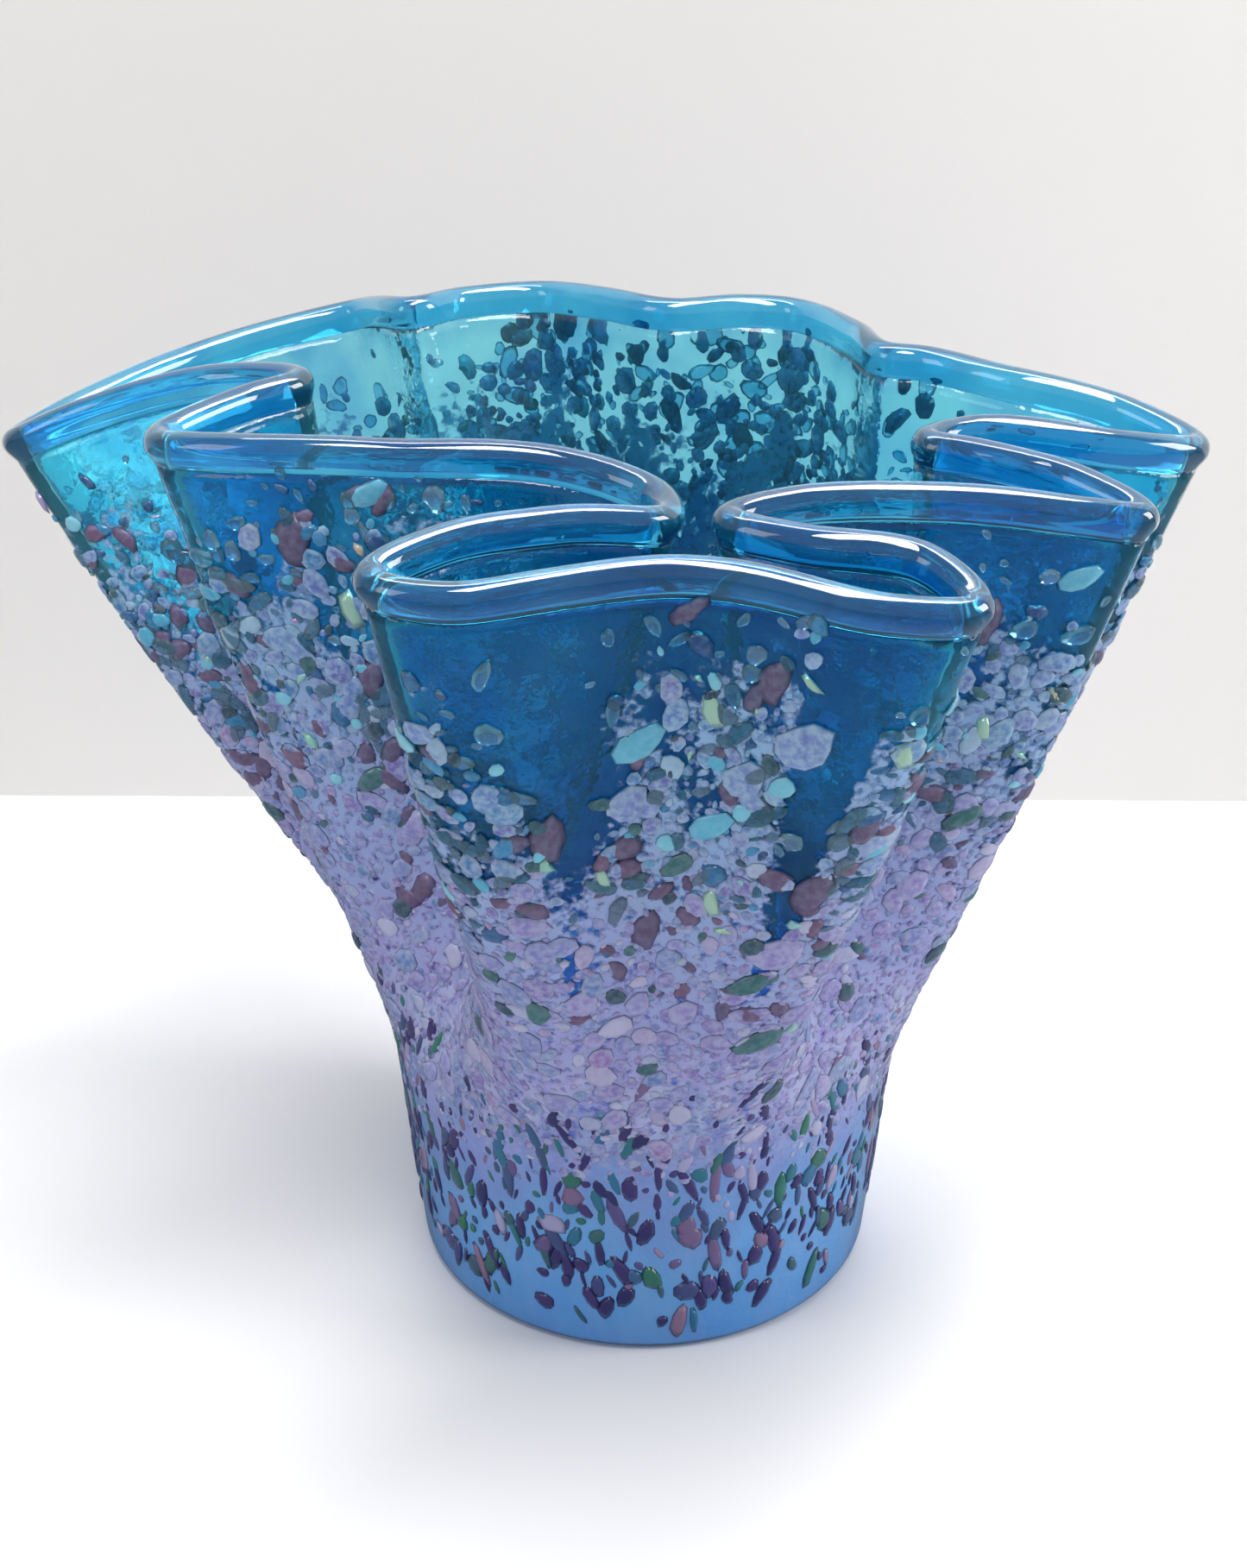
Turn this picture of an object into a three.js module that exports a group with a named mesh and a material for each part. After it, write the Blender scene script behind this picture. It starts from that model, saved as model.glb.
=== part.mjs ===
// A hand-blown glass vase: a round periwinkle base that opens into six folded lobes, violet low down and
// clear aqua at the fire-polished rim, with loose glass chips fused on the outside.
// Millimetres, +Z up, +Y to the back. The origin is the centre of the foot's flat underside.
import * as THREE from "three";

// Driving dimensions
const footRadius = 39.5; // outside, where the foot meets the table
const footThickness = 9; // solid glass under the well
const footEdgeRadius = 2.5; // rounding of the foot's lower edge
const wellDish = 1; // how far the middle of the well's floor lies below its edge
const waistRadius = 43; // outside, where the lobes start
const waistHeight = 40;
const flareLength = 114; // length of the wall from the waist to the rim
const rimReach = 111; // from the axis to the tip of the longest lobe
const wallThickness = 3.6;
const lipThickness = 5;
const lipHeight = 5.5;
const violetShare = 0.36; // where the violet glass ends, as a share of the flare
const lavenderShare = 0.7; // where the lavender glass ends and the aqua starts
const pullStretch = 0.1; // extra wall length for each millimetre that the rim is pulled sideways
const waistSoftness = 0.1; // share of the flare over which the wall turns outwards
const belly = 0.28; // how far the lobes bow outwards of a straight line
const pieceGap = 0.3; // between pieces of glass that were fused together
const chipProud = 0.9; // how far a flat chip stands off the wall
const pebbleProud = 1.8;
const flakeProud = 0.5;

const foldSteps = 116; // steps round the folded wall
const roundSteps = 64; // steps round the base
const cornerBias = 0.5; // 0 spaces the steps evenly along the rim, 1 gathers them at the rim rows

// The rim in plan, anticlockwise from the fold on the left of the front lobe: x, y, and the compass angle at
// the waist, in degrees, of the wall that runs up to that point. The plan is scaled to rimReach.
const rimRows = [
  [3, -38, -143], // fold between the front-left lobe and the front lobe
  [-12, -45, -135],
  [-28, -53, -124],
  [-37, -63, -113], // front lobe, left corner
  [-26, -69, -105],
  [6, -63, -92],
  [32, -70, -79],
  [44, -67, -72], // front lobe, right corner
  [38, -57, -64],
  [22, -53, -55],
  [11, -45, -48], // fold
  [22, -38, -42],
  [44, -37, -33],
  [62, -38, -26],
  [71, -36, -21], // front-right lobe
  [63, -27, -17],
  [50, -19, -13],
  [42, -14, -10], // fold
  [50, -8, -7],
  [72, -10, -3],
  [85, -3, 1], // right lobe
  [76, 8, 8],
  [58, 17, 17],
  [46, 26, 27],
  [39, 29, 34], // fold
  [35, 40, 43],
  [26, 54, 55],
  [16, 56, 65],
  [4, 53, 75],
  [-8, 62, 84],
  [-20, 71, 94], // back lobe
  [-34, 68, 107],
  [-42, 60, 118], // fold
  [-54, 74, 128],
  [-75, 66, 142],
  [-93, 50, 156],
  [-107, 29, 168], // left lobe
  [-92, 25, 173],
  [-72, 25, 177],
  [-56, 15, 181], // fold
  [-64, 7, 184],
  [-75, -8, 190], // front-left lobe
  [-62, -16, 195],
  [-36, -19, 202],
  [-12, -21, 209],
  [2, -29, 214],
];

// Chips by kind, each as row of the rim table (between rows for a fraction), share of the flare, and size.
const chipSteps = 9;
const chipRings = 6;
const chipKinds = {
  plum_chip: {
    colour: 0x6d4460,
    roughness: 0.55,
    proud: chipProud,
    crown: 0.3,
    waviness: 0.2,
    places: [
      [4.3, 0.62, 3.4], [5.5, 0.86, 3], [6.2, 0.55, 3.6], [4.9, 0.45, 3.2], [6.5, 0.66, 2.8],
      [42.3, 0.86, 3.6], [43.1, 0.8, 3.8], [42.7, 0.66, 3], [43.3, 0.58, 3.4], [12.4, 0.82, 3.2],
      [29.4, 0.5, 3.6], [21.4, 0.62, 3.4], [34.4, 0.56, 3.8], [26.2, 0.74, 3.2],
    ],
  },
  bottle_green_chip: {
    colour: 0x22403c,
    roughness: 0.3,
    proud: chipProud,
    crown: 0.35,
    waviness: 0.22,
    places: [
      [5.1, 0.56, 2.4], [5.9, 0.38, 2.6], [6.4, 0.27, 3], [12.8, 0.52, 2.6], [42.6, 0.5, 2.4],
      [30.4, 0.66, 3], [22.3, 0.4, 2.8], [34.8, 0.34, 2.6],
    ],
  },
  lavender_pebble: {
    colour: 0xb9b2dd,
    roughness: 0.12,
    proud: pebbleProud,
    crown: 0.75,
    waviness: 0.12,
    places: [
      [5.75, 0.78, 4.2], [4.75, 0.66, 3.4], [5.45, 0.71, 3.4], [6.1, 0.44, 3.6], [4.4, 0.33, 2.8],
      [5.35, 0.31, 2.6], [43.2, 0.44, 3], [12.3, 0.4, 3], [28.2, 0.6, 3.8], [35.4, 0.46, 3.4],
    ],
  },
  aqua_pebble: {
    colour: 0x5aa9c9,
    roughness: 0.1,
    proud: pebbleProud,
    crown: 0.75,
    waviness: 0.14,
    places: [
      [4.8, 0.75, 3.6], [5.3, 0.63, 3], [42.8, 0.93, 2.6], [13.2, 0.9, 2.6], [20.8, 0.82, 3],
      [34.2, 0.8, 3.2],
    ],
  },
  dichroic_flake: {
    colour: 0xd9e27a,
    roughness: 0.2,
    proud: flakeProud,
    crown: 0.25,
    waviness: 0.34,
    places: [
      [5.4, 0.505, 2.2], [5.2, 0.8, 2.6], [4.6, 0.54, 1.8], [42.6, 0.76, 2.6], [6.6, 0.78, 2.2],
      [12.7, 0.66, 2], [27.2, 0.45, 2.4], [35.8, 0.64, 2.4],
    ],
  },
};

// Glass colours of the wall, from the foot up
const glass = {
  foot: { color: 0x4f7fbd, roughness: 0.12, metalness: 0 },
  periwinkle: { color: 0x6f8fc9, roughness: 0.12, metalness: 0 },
  violet: { color: 0x8273b4, roughness: 0.1, metalness: 0 },
  lavender: { color: 0x8d94c8, roughness: 0.1, metalness: 0 },
  aqua: { color: 0x0f6f9c, roughness: 0.06, metalness: 0 },
  lip: { color: 0x3f7fa6, roughness: 0.04, metalness: 0 },
};

const fullTurn = 2 * Math.PI;
const halfWall = wallThickness / 2;
const coneSlope = (waistRadius - footRadius) / waistHeight;
const rimHeight = waistHeight + flareLength;
const drawnReach = Math.max(...rimRows.map(([x, y]) => Math.hypot(x, y)));
const planScale = rimReach / drawnReach;

function compassPoint(degrees) {
  const angle = THREE.MathUtils.degToRad(degrees);
  return new THREE.Vector3(Math.cos(angle), Math.sin(angle), 0);
}

function closedCurve(points) {
  const curve = new THREE.CatmullRomCurve3(points, true, "centripetal");
  curve.arcLengthDivisions = 2000;
  return curve;
}

const rimCurve = closedCurve(rimRows.map(([x, y]) => new THREE.Vector3(x * planScale, y * planScale, 0)));
const waistCurve = closedCurve(rimRows.map(([, , degrees]) => compassPoint(degrees)));

// Radius of the middle of the wall if the base's cone went on up to this height
function coneRadius(height) {
  return footRadius - halfWall + coneSlope * height;
}

// Share of the way from the cone to the rim's plan: level at the waist, then a straight, slightly bowed line
function flareShare(rise) {
  const soft = Math.hypot(rise, waistSoftness) - waistSoftness;
  const whole = Math.hypot(1, waistSoftness) - waistSoftness;
  return soft / whole + belly * rise * (1 - rise);
}

// The middle of the wall at a place round the rim curve and a distance up the wall. The wall's length is much
// the same all round, so the rim hangs lower where it reaches further out.
function wallMiddle(place, up) {
  const compass = waistCurve.getPoint(THREE.MathUtils.euclideanModulo(place, 1)).normalize();
  if (up <= waistHeight) {
    return compass.multiplyScalar(coneRadius(up)).setZ(up);
  }
  const rise = (up - waistHeight) / flareLength;
  const rim = rimCurve.getPoint(THREE.MathUtils.euclideanModulo(place, 1));
  const reach = rim.distanceTo(compass.clone().multiplyScalar(coneRadius(waistHeight)));
  const climb = Math.sqrt((flareLength + pullStretch * reach) ** 2 - reach ** 2);
  const height = waistHeight + climb * rise;
  const topOfCone = compass.clone().multiplyScalar(coneRadius(waistHeight + climb));
  const pull = rim.sub(topOfCone).multiplyScalar(flareShare(rise));
  return compass.multiplyScalar(coneRadius(height)).add(pull).setZ(height);
}

const probe = 1e-3;

function alongWall(place, up) {
  const ahead = wallMiddle(place + probe, up);
  return ahead.sub(wallMiddle(place - probe, up)).divideScalar(2 * probe);
}

function upWall(place, up) {
  const above = up < waistHeight ? up : up + probe;
  return wallMiddle(place, above + probe).sub(wallMiddle(place, above)).divideScalar(probe);
}

// A point at a distance across the wall, outwards of its middle
function wallPoint(place, up, across) {
  const outwards = alongWall(place, up).cross(upWall(place, up)).normalize();
  return wallMiddle(place, up).addScaledVector(outwards, across);
}

// Moves each vertex of a three.js geometry to where toPoint says
function bent(geometry, toPoint) {
  const position = geometry.getAttribute("position");
  const vertex = new THREE.Vector3();
  for (let i = 0; i < position.count; i += 1) {
    const moved = toPoint(vertex.fromBufferAttribute(position, i));
    position.setXYZ(i, moved.x, moved.y, moved.z);
  }
  geometry.computeVertexNormals();
  return geometry;
}

// A ring of wall. The profile's points are [across, up], closed and clockwise as seen with outwards on the right.
function wallRing(profile, steps) {
  const ringRadius = 10 * lipThickness; // only keeps the straight ring open until it is bent
  const closed = [...profile, profile[0]];
  const points = closed.map(([across, up]) => new THREE.Vector2(ringRadius + across, up));
  return bent(new THREE.LatheGeometry(points, steps), (v) => {
    const turn = THREE.MathUtils.euclideanModulo(Math.atan2(v.x, v.z) / fullTurn, 1);
    const place = THREE.MathUtils.lerp(rimCurve.getUtoTmapping(turn), turn, cornerBias);
    return wallPoint(place, v.y, Math.hypot(v.x, v.z) - ringRadius);
  });
}

function bandProfile(from, to, rows) {
  const rise = (step) => from + ((to - from) * step) / rows;
  const steps = Array.from({ length: rows + 1 }, (_, step) => rise(step));
  const outside = steps.map((up) => [halfWall, up]);
  const inside = steps.reverse().map((up) => [-halfWall, up]);
  return [...outside, ...inside];
}

function lipProfile(from) {
  const half = lipThickness / 2;
  const middle = from + lipHeight - half;
  const bead = Array.from({ length: 7 }, (_, step) => {
    const angle = (Math.PI * step) / 6;
    return [half * Math.cos(angle), middle + half * Math.sin(angle)];
  });
  return [[halfWall, from], ...bead, [-halfWall, from]];
}

// The foot's seat for the base is square to the sloping wall, as the base's lower edge is.
function footGeometry() {
  const slope = Math.atan(coneSlope);
  const seatRadius = coneRadius(footThickness);
  const seatHalfWidth = halfWall * Math.cos(slope);
  const seatHalfDrop = halfWall * Math.sin(slope);
  const wellRadius = seatRadius - seatHalfWidth;
  const edge = new THREE.Path();
  edge.moveTo(0, 0);
  edge.lineTo(footRadius - footEdgeRadius, 0);
  edge.absarc(footRadius - footEdgeRadius, footEdgeRadius, footEdgeRadius, -Math.PI / 2, 0, false);
  edge.lineTo(seatRadius + seatHalfWidth, footThickness - seatHalfDrop);
  edge.lineTo(wellRadius, footThickness + seatHalfDrop);
  edge.quadraticCurveTo(wellRadius / 2, footThickness - wellDish, 0, footThickness - wellDish);
  const geometry = new THREE.LatheGeometry(edge.getPoints(4), roundSteps);
  return geometry.rotateX(Math.PI / 2);
}

// A flattened ball laid on the outside of the wall, with an uneven outline and a flat underside
function chipGeometry(kind, [row, share, size], number) {
  const place = row / rimRows.length;
  const up = waistHeight + share * flareLength;
  const speed = alongWall(place, up).length();
  const underside = halfWall + pieceGap;
  const ball = new THREE.SphereGeometry(1, chipSteps, chipRings);
  return bent(ball, (v) => {
    const angle = Math.atan2(v.z, v.x);
    const twoLobes = Math.sin(2 * angle + number);
    const threeLobes = 0.6 * Math.sin(3 * angle - number);
    const radius = size * (1 + kind.waviness * (twoLobes + threeLobes));
    const out = underside + kind.proud * Math.max(0, v.y) ** kind.crown;
    return wallPoint(place + (v.x * radius) / speed, up - v.z * radius, out);
  });
}

const vase = new THREE.Group();

function addPiece(name, geometry, finish) {
  const mesh = new THREE.Mesh(geometry, new THREE.MeshStandardMaterial(finish));
  mesh.name = name;
  vase.add(mesh);
}

const violetTop = waistHeight + violetShare * flareLength;
const lavenderTop = waistHeight + lavenderShare * flareLength;
const aquaTop = rimHeight - lipHeight;

const base = bandProfile(footThickness + pieceGap, waistHeight, 2);
const violet = bandProfile(waistHeight + pieceGap, violetTop, 3);
const lavender = bandProfile(violetTop + pieceGap, lavenderTop, 2);
const aqua = bandProfile(lavenderTop + pieceGap, aquaTop, 2);
const lip = lipProfile(aquaTop + pieceGap);

addPiece("foot_disc", footGeometry(), glass.foot);
addPiece("base_band", wallRing(base, roundSteps), glass.periwinkle);
addPiece("violet_band", wallRing(violet, foldSteps), glass.violet);
addPiece("lavender_band", wallRing(lavender, foldSteps), glass.lavender);
addPiece("aqua_band", wallRing(aqua, foldSteps), glass.aqua);
addPiece("rim_lip", wallRing(lip, foldSteps), glass.lip);

for (const [kindName, kind] of Object.entries(chipKinds)) {
  kind.places.forEach((place, index) => {
    const name = `${kindName}_${String(index + 1).padStart(2, "0")}`;
    const finish = { color: kind.colour, roughness: kind.roughness, metalness: 0 };
    addPiece(name, chipGeometry(kind, place, index + 1), finish);
  });
}

export default vase;
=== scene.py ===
import math

import bpy
import numpy as np
from mathutils import Euler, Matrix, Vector


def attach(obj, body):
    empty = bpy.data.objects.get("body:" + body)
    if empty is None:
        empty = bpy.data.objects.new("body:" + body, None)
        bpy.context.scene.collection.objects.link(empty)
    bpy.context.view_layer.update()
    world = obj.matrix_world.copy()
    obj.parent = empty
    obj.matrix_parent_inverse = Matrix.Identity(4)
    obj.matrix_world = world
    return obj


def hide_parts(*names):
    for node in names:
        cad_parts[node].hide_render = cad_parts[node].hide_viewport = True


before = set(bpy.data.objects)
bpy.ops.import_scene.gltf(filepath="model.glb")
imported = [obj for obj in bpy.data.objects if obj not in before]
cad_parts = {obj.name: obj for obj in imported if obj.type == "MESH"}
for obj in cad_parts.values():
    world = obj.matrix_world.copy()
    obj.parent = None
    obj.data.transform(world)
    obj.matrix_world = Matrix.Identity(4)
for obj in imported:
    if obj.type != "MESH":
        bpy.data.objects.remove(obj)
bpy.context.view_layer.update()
mm = 0.001
print("frame loaded,", len(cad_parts), "nodes")


class Wire:
    # an output socket that can be added, multiplied and so on

    def __init__(self, tree, socket):
        self.tree = tree
        self.socket = socket

    def isVector(self):
        return self.socket.type in ("VECTOR", "RGBA")

    def __add__(self, other):
        return calc(self.tree, "ADD", self, other)

    def __radd__(self, other):
        return calc(self.tree, "ADD", other, self)

    def __sub__(self, other):
        return calc(self.tree, "SUBTRACT", self, other)

    def __rsub__(self, other):
        return calc(self.tree, "SUBTRACT", other, self)

    def __mul__(self, other):
        if self.isVector() and not (isinstance(other, Wire) and other.isVector()):
            return scaled(self.tree, self, other)
        return calc(self.tree, "MULTIPLY", self, other)

    def __rmul__(self, other):
        return self * other

    def __truediv__(self, other):
        return calc(self.tree, "DIVIDE", self, other)

    def __rtruediv__(self, other):
        return calc(self.tree, "DIVIDE", other, self)


def plug(tree, value, socket):
    if isinstance(value, Wire):
        tree.links.new(value.socket, socket)
    elif value is not None:
        socket.default_value = value


def addNode(tree, kind, values=None, **settings):
    node = tree.nodes.new(kind)
    for key, value in settings.items():
        setattr(node, key, value)
    for name, value in (values or {}).items():
        socket = node.inputs[name] if isinstance(name, int) else next(
            s for s in node.inputs if s.enabled and s.name == name)
        plug(tree, value, socket)
    return node


def out(node, name=None):
    sockets = [s for s in node.outputs if s.enabled and (name is None or s.name == name)]
    return Wire(node.id_data, sockets[0])


def made(tree, kind, values=None, **settings):
    return out(addNode(tree, kind, values, **settings))


def calc(tree, operation, *terms):
    vector = any(isinstance(t, Wire) and t.isVector() for t in terms)
    node = tree.nodes.new("ShaderNodeVectorMath" if vector else "ShaderNodeMath")
    node.operation = operation
    for term, socket in zip(terms, node.inputs):
        plug(tree, term, socket)
    return out(node)


def scaled(tree, vector, factor):
    return made(tree, "ShaderNodeVectorMath", {0: vector, "Scale": factor}, operation="SCALE")


def vectorOf(tree, x, y, z):
    return made(tree, "ShaderNodeCombineXYZ", {"X": x, "Y": y, "Z": z})


def partsOf(vector):
    node = addNode(vector.tree, "ShaderNodeSeparateXYZ", {"Vector": vector})
    return [Wire(vector.tree, s) for s in node.outputs]


def smoothStep(tree, value, low, high):
    return made(tree, "ShaderNodeMapRange", {"Value": value, "From Min": low, "From Max": high},
                interpolation_type="SMOOTHSTEP")


def noiseOf(tree, position, scale, detail=2.0):
    node = addNode(tree, "ShaderNodeTexNoise", {"Vector": position, "Scale": scale, "Detail": detail})
    return Wire(tree, node.outputs[0])


def newGroup(name, kind, inputs, outputs):
    # inputs: name to socket type and default; outputs: name to socket type
    tree = bpy.data.node_groups.new(name, kind)
    newSocket = tree.interface.new_socket
    for socketName, (socketType, default) in inputs.items():
        socket = newSocket(socketName, in_out="INPUT", socket_type="NodeSocket" + socketType)
        if default is not None:
            socket.default_value = default
    for socketName, socketType in outputs.items():
        newSocket(socketName, in_out="OUTPUT", socket_type="NodeSocket" + socketType)
    start = tree.nodes.new("NodeGroupInput")
    end = tree.nodes.new("NodeGroupOutput")
    wires = {name: Wire(tree, start.outputs[name]) for name in inputs}
    return tree, wires, end


def useGroup(tree, group, values):
    kind = "GeometryNodeGroup" if tree.bl_idname == "GeometryNodeTree" else "ShaderNodeGroup"
    node = tree.nodes.new(kind)
    node.node_tree = group
    for name, value in values.items():
        plug(tree, value, node.inputs[name])
    return node


wallSizes = {
    "footRadius": 39.5 * mm,
    "waistRadius": 43 * mm,
    "waistHeight": 40 * mm,
    "flareLength": 114 * mm,
    "rimReach": 111 * mm,
    "wallThickness": 3.6 * mm,
    "lipThickness": 5 * mm,
    "lipHeight": 5.5 * mm,
    "footThickness": 9 * mm,
    "footEdgeRadius": 2.5 * mm,
    "pullStretch": 0.1,
    "waistSoftness": 0.1,
    "belly": 0.28,
    "waviness": 0.35 * mm,
    "spanSteps": 40,
    "cornerBias": 0.5,
}

# The rim in plan, anticlockwise: x and y in millimetres before scaling, and degrees round the waist
rimPlan = [
    (3, -38, -143), (-12, -45, -135), (-28, -53, -124), (-37, -63, -113), (-26, -69, -105),
    (6, -63, -92), (32, -70, -79), (44, -67, -72), (38, -57, -64), (22, -53, -55),
    (11, -45, -48), (22, -38, -42), (44, -37, -33), (62, -38, -26), (71, -36, -21),
    (63, -27, -17), (50, -19, -13), (42, -14, -10), (50, -8, -7), (72, -10, -3),
    (85, -3, 1), (76, 8, 8), (58, 17, 17), (46, 26, 27), (39, 29, 34),
    (35, 40, 43), (26, 54, 55), (16, 56, 65), (4, 53, 75), (-8, 62, 84),
    (-20, 71, 94), (-34, 68, 107), (-42, 60, 118), (-54, 74, 128), (-75, 66, 142),
    (-93, 50, 156), (-107, 29, 168), (-92, 25, 173), (-72, 25, 177), (-56, 15, 181),
    (-64, 7, 184), (-75, -8, 190), (-62, -16, 195), (-36, -19, 202), (-12, -21, 209),
    (2, -29, 214),
]
rowCount = len(rimPlan)
halfWall = wallSizes["wallThickness"] / 2
rimUp = wallSizes["waistHeight"] + wallSizes["flareLength"]


def closedSpline(points, steps):
    # closed centripetal Catmull-Rom, with the same number of steps in each span
    points = np.array(points, float)
    before, after, second = (np.roll(points, shift, 0) for shift in (1, -1, -2))
    gaps = [np.linalg.norm(b - a, axis=1)[:, None] ** 0.5
            for a, b in ((before, points), (points, after), (after, second))]
    startPull = (points - before) / gaps[0] - (after - before) / (gaps[0] + gaps[1]) \
        + (after - points) / gaps[1]
    endPull = (after - points) / gaps[1] - (second - points) / (gaps[1] + gaps[2]) \
        + (second - after) / gaps[2]
    startPull, endPull = startPull * gaps[1], endPull * gaps[1]
    t = np.linspace(0, 1, steps, endpoint=False)[None, :, None]
    p, a, u, v = (q[:, None, :] for q in (points, after, startPull, endPull))
    curve = p + u * t + (3 * (a - p) - 2 * u - v) * t ** 2 + (2 * (p - a) + u + v) * t ** 3
    return curve.reshape(-1, points.shape[1])


def addObject(name, data):
    thing = bpy.data.objects.new(name, data)
    bpy.context.scene.collection.objects.link(thing)
    return thing


def pointMesh(name, positions, floats=None, vectors=None, faces=()):
    mesh = bpy.data.meshes.new(name)
    mesh.from_pydata([tuple(p) for p in positions], [], faces)
    for key, values in (floats or {}).items():
        layer = mesh.attributes.new(key, "FLOAT", "POINT")
        layer.data.foreach_set("value", np.asarray(values, np.float32))
    for key, values in (vectors or {}).items():
        layer = mesh.attributes.new(key, "FLOAT_VECTOR", "POINT")
        layer.data.foreach_set("vector", np.asarray(values, np.float32).ravel())
    return addObject(name, mesh)


def makeRimLine():
    plan = np.array([row[:2] for row in rimPlan], float)
    plan *= wallSizes["rimReach"] / np.linalg.norm(plan, axis=1).max()
    degrees = np.radians([row[2] for row in rimPlan])
    compass = np.column_stack([np.cos(degrees), np.sin(degrees)])
    steps = wallSizes["spanSteps"]
    line = closedSpline(plan, steps)
    ways = closedSpline(compass, steps)
    ways /= np.linalg.norm(ways, axis=1)[:, None]
    flat = np.zeros((len(line), 1))
    rimLine = pointMesh("rimLine", np.hstack([line, flat]),
                        vectors={"compass": np.hstack([ways, flat])})
    stretch = np.linalg.norm(np.roll(line, -1, 0) - line, axis=1)
    return rimLine, len(line), np.concatenate([[0], np.cumsum(stretch)])


rimLine, rimSamples, rimRun = makeRimLine()


def placesRound(count):
    # places round the rim, part way from even along the rim to even between the plan's rows
    turn = np.linspace(0, 1, count + 1)
    even = np.interp(turn * rimRun[-1], rimRun, np.linspace(0, 1, rimSamples + 1))
    return even + (turn - even) * wallSizes["cornerBias"]


def buildWallMiddle():
    tree, given, end = newGroup("wallMiddle", "GeometryNodeTree", {
        "Rim": ("Geometry", None),
        "Place": ("Float", 0.0),
        "Up": ("Float", 0.0),
        "Rim samples": ("Int", rimSamples),
        "Middle radius at the foot": ("Float", wallSizes["footRadius"] - halfWall),
        "Cone slope": ("Float",
                       (wallSizes["waistRadius"] - wallSizes["footRadius"]) / wallSizes["waistHeight"]),
        "Waist height": ("Float", wallSizes["waistHeight"]),
        "Flare length": ("Float", wallSizes["flareLength"]),
        "Pull stretch": ("Float", wallSizes["pullStretch"]),
        "Waist softness": ("Float", wallSizes["waistSoftness"]),
        "Belly": ("Float", wallSizes["belly"]),
    }, {"Position": "Vector"})
    samples = given["Rim samples"]
    sample = calc(tree, "FLOORED_MODULO", given["Place"], 1.0) * samples
    first = calc(tree, "FLOOR", sample)
    share = sample - first
    nextOne = calc(tree, "FLOORED_MODULO", first + 1.0, samples)
    first = calc(tree, "FLOORED_MODULO", first, samples)

    def sampled(value):
        both = [made(tree, "GeometryNodeSampleIndex",
                     {"Geometry": given["Rim"], "Value": value, "Index": index},
                     data_type="FLOAT_VECTOR", clamp=True) for index in (first, nextOne)]
        return both[0] + (both[1] - both[0]) * share

    compassField = made(tree, "GeometryNodeInputNamedAttribute", {"Name": "compass"},
                        data_type="FLOAT_VECTOR")
    compass = calc(tree, "NORMALIZE", sampled(compassField))
    rim = sampled(made(tree, "GeometryNodeInputPosition"))

    def coneRadius(height):
        return given["Middle radius at the foot"] + given["Cone slope"] * height

    waist = given["Waist height"]
    rise = calc(tree, "MAXIMUM", (given["Up"] - waist) / given["Flare length"], 0.0)
    reachWay = rim - compass * coneRadius(waist)
    reach = out(addNode(tree, "ShaderNodeVectorMath", {0: reachWay}, operation="LENGTH"), "Value")
    wallLength = given["Flare length"] + given["Pull stretch"] * reach
    climb = calc(tree, "SQRT", wallLength * wallLength - reach * reach)
    height = calc(tree, "MINIMUM", given["Up"], waist) + climb * rise
    soft = given["Waist softness"]

    def softened(value):
        return calc(tree, "SQRT", value * value + soft * soft) - soft

    whole = calc(tree, "SQRT", 1.0 + soft * soft) - soft
    flareShare = softened(rise) / whole + given["Belly"] * rise * (1.0 - rise)
    topOfCone = compass * coneRadius(waist + climb)
    middle = compass * coneRadius(height) + (rim - topOfCone) * flareShare
    plug(tree, middle + vectorOf(tree, 0.0, 0.0, height), end.inputs["Position"])
    return tree


def buildWallPoint(wallMiddle):
    # a point at a distance across the wall, and the wall's length for a whole turn of Place
    tree, given, end = newGroup("wallPoint", "GeometryNodeTree", {
        "Rim": ("Geometry", None),
        "Place": ("Float", 0.0),
        "Up": ("Float", 0.0),
        "Across": ("Float", 0.0),
        "Waviness": ("Float", wallSizes["waviness"]),
        "Wave scale": ("Float", 75.0),
    }, {"Position": "Vector", "Turn length": "Float"})
    placeProbe = 1.5 / rimSamples
    upProbe = 0.4 * mm

    def middleAt(place, up):
        return out(useGroup(tree, wallMiddle, {"Rim": given["Rim"], "Place": place, "Up": up}))

    place, up = given["Place"], given["Up"]
    middle = middleAt(place, up)
    along = middleAt(place + placeProbe, up) - middleAt(place - placeProbe, up)
    upwards = middleAt(place, up + upProbe) - middleAt(place, up - upProbe)
    outwards = calc(tree, "NORMALIZE", calc(tree, "CROSS_PRODUCT", along, upwards))
    speed = out(addNode(tree, "ShaderNodeVectorMath", {0: along}, operation="LENGTH"), "Value")
    wave = (noiseOf(tree, middle, given["Wave scale"], 1.0) - 0.5) * given["Waviness"] * 2.0
    onFlare = smoothStep(tree, up, wallSizes["waistHeight"] * 0.4, wallSizes["waistHeight"])
    plug(tree, middle + outwards * (given["Across"] + wave * onFlare), end.inputs["Position"])
    plug(tree, speed / (2.0 * placeProbe), end.inputs["Turn length"])
    return tree


wallPoint = buildWallPoint(buildWallMiddle())
print("wall rule built")


def runModifier(name, base, tree, values):
    # runs a node tree on a base object and gives back a plain mesh object
    modifier = base.modifiers.new(name, "NODES")
    modifier.node_group = tree
    for socket in tree.interface.items_tree:
        if socket.in_out == "INPUT" and socket.name in values:
            modifier[socket.identifier] = values[socket.name]
    bpy.context.view_layer.update()
    graph = bpy.context.evaluated_depsgraph_get()
    mesh = bpy.data.meshes.new_from_object(base.evaluated_get(graph))
    mesh.name = name
    base.modifiers.remove(modifier)
    triangles = sum(len(p.vertices) - 2 for p in mesh.polygons)
    print(name, len(mesh.vertices), "points", triangles, "triangles")
    return addObject(name, mesh)


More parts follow.
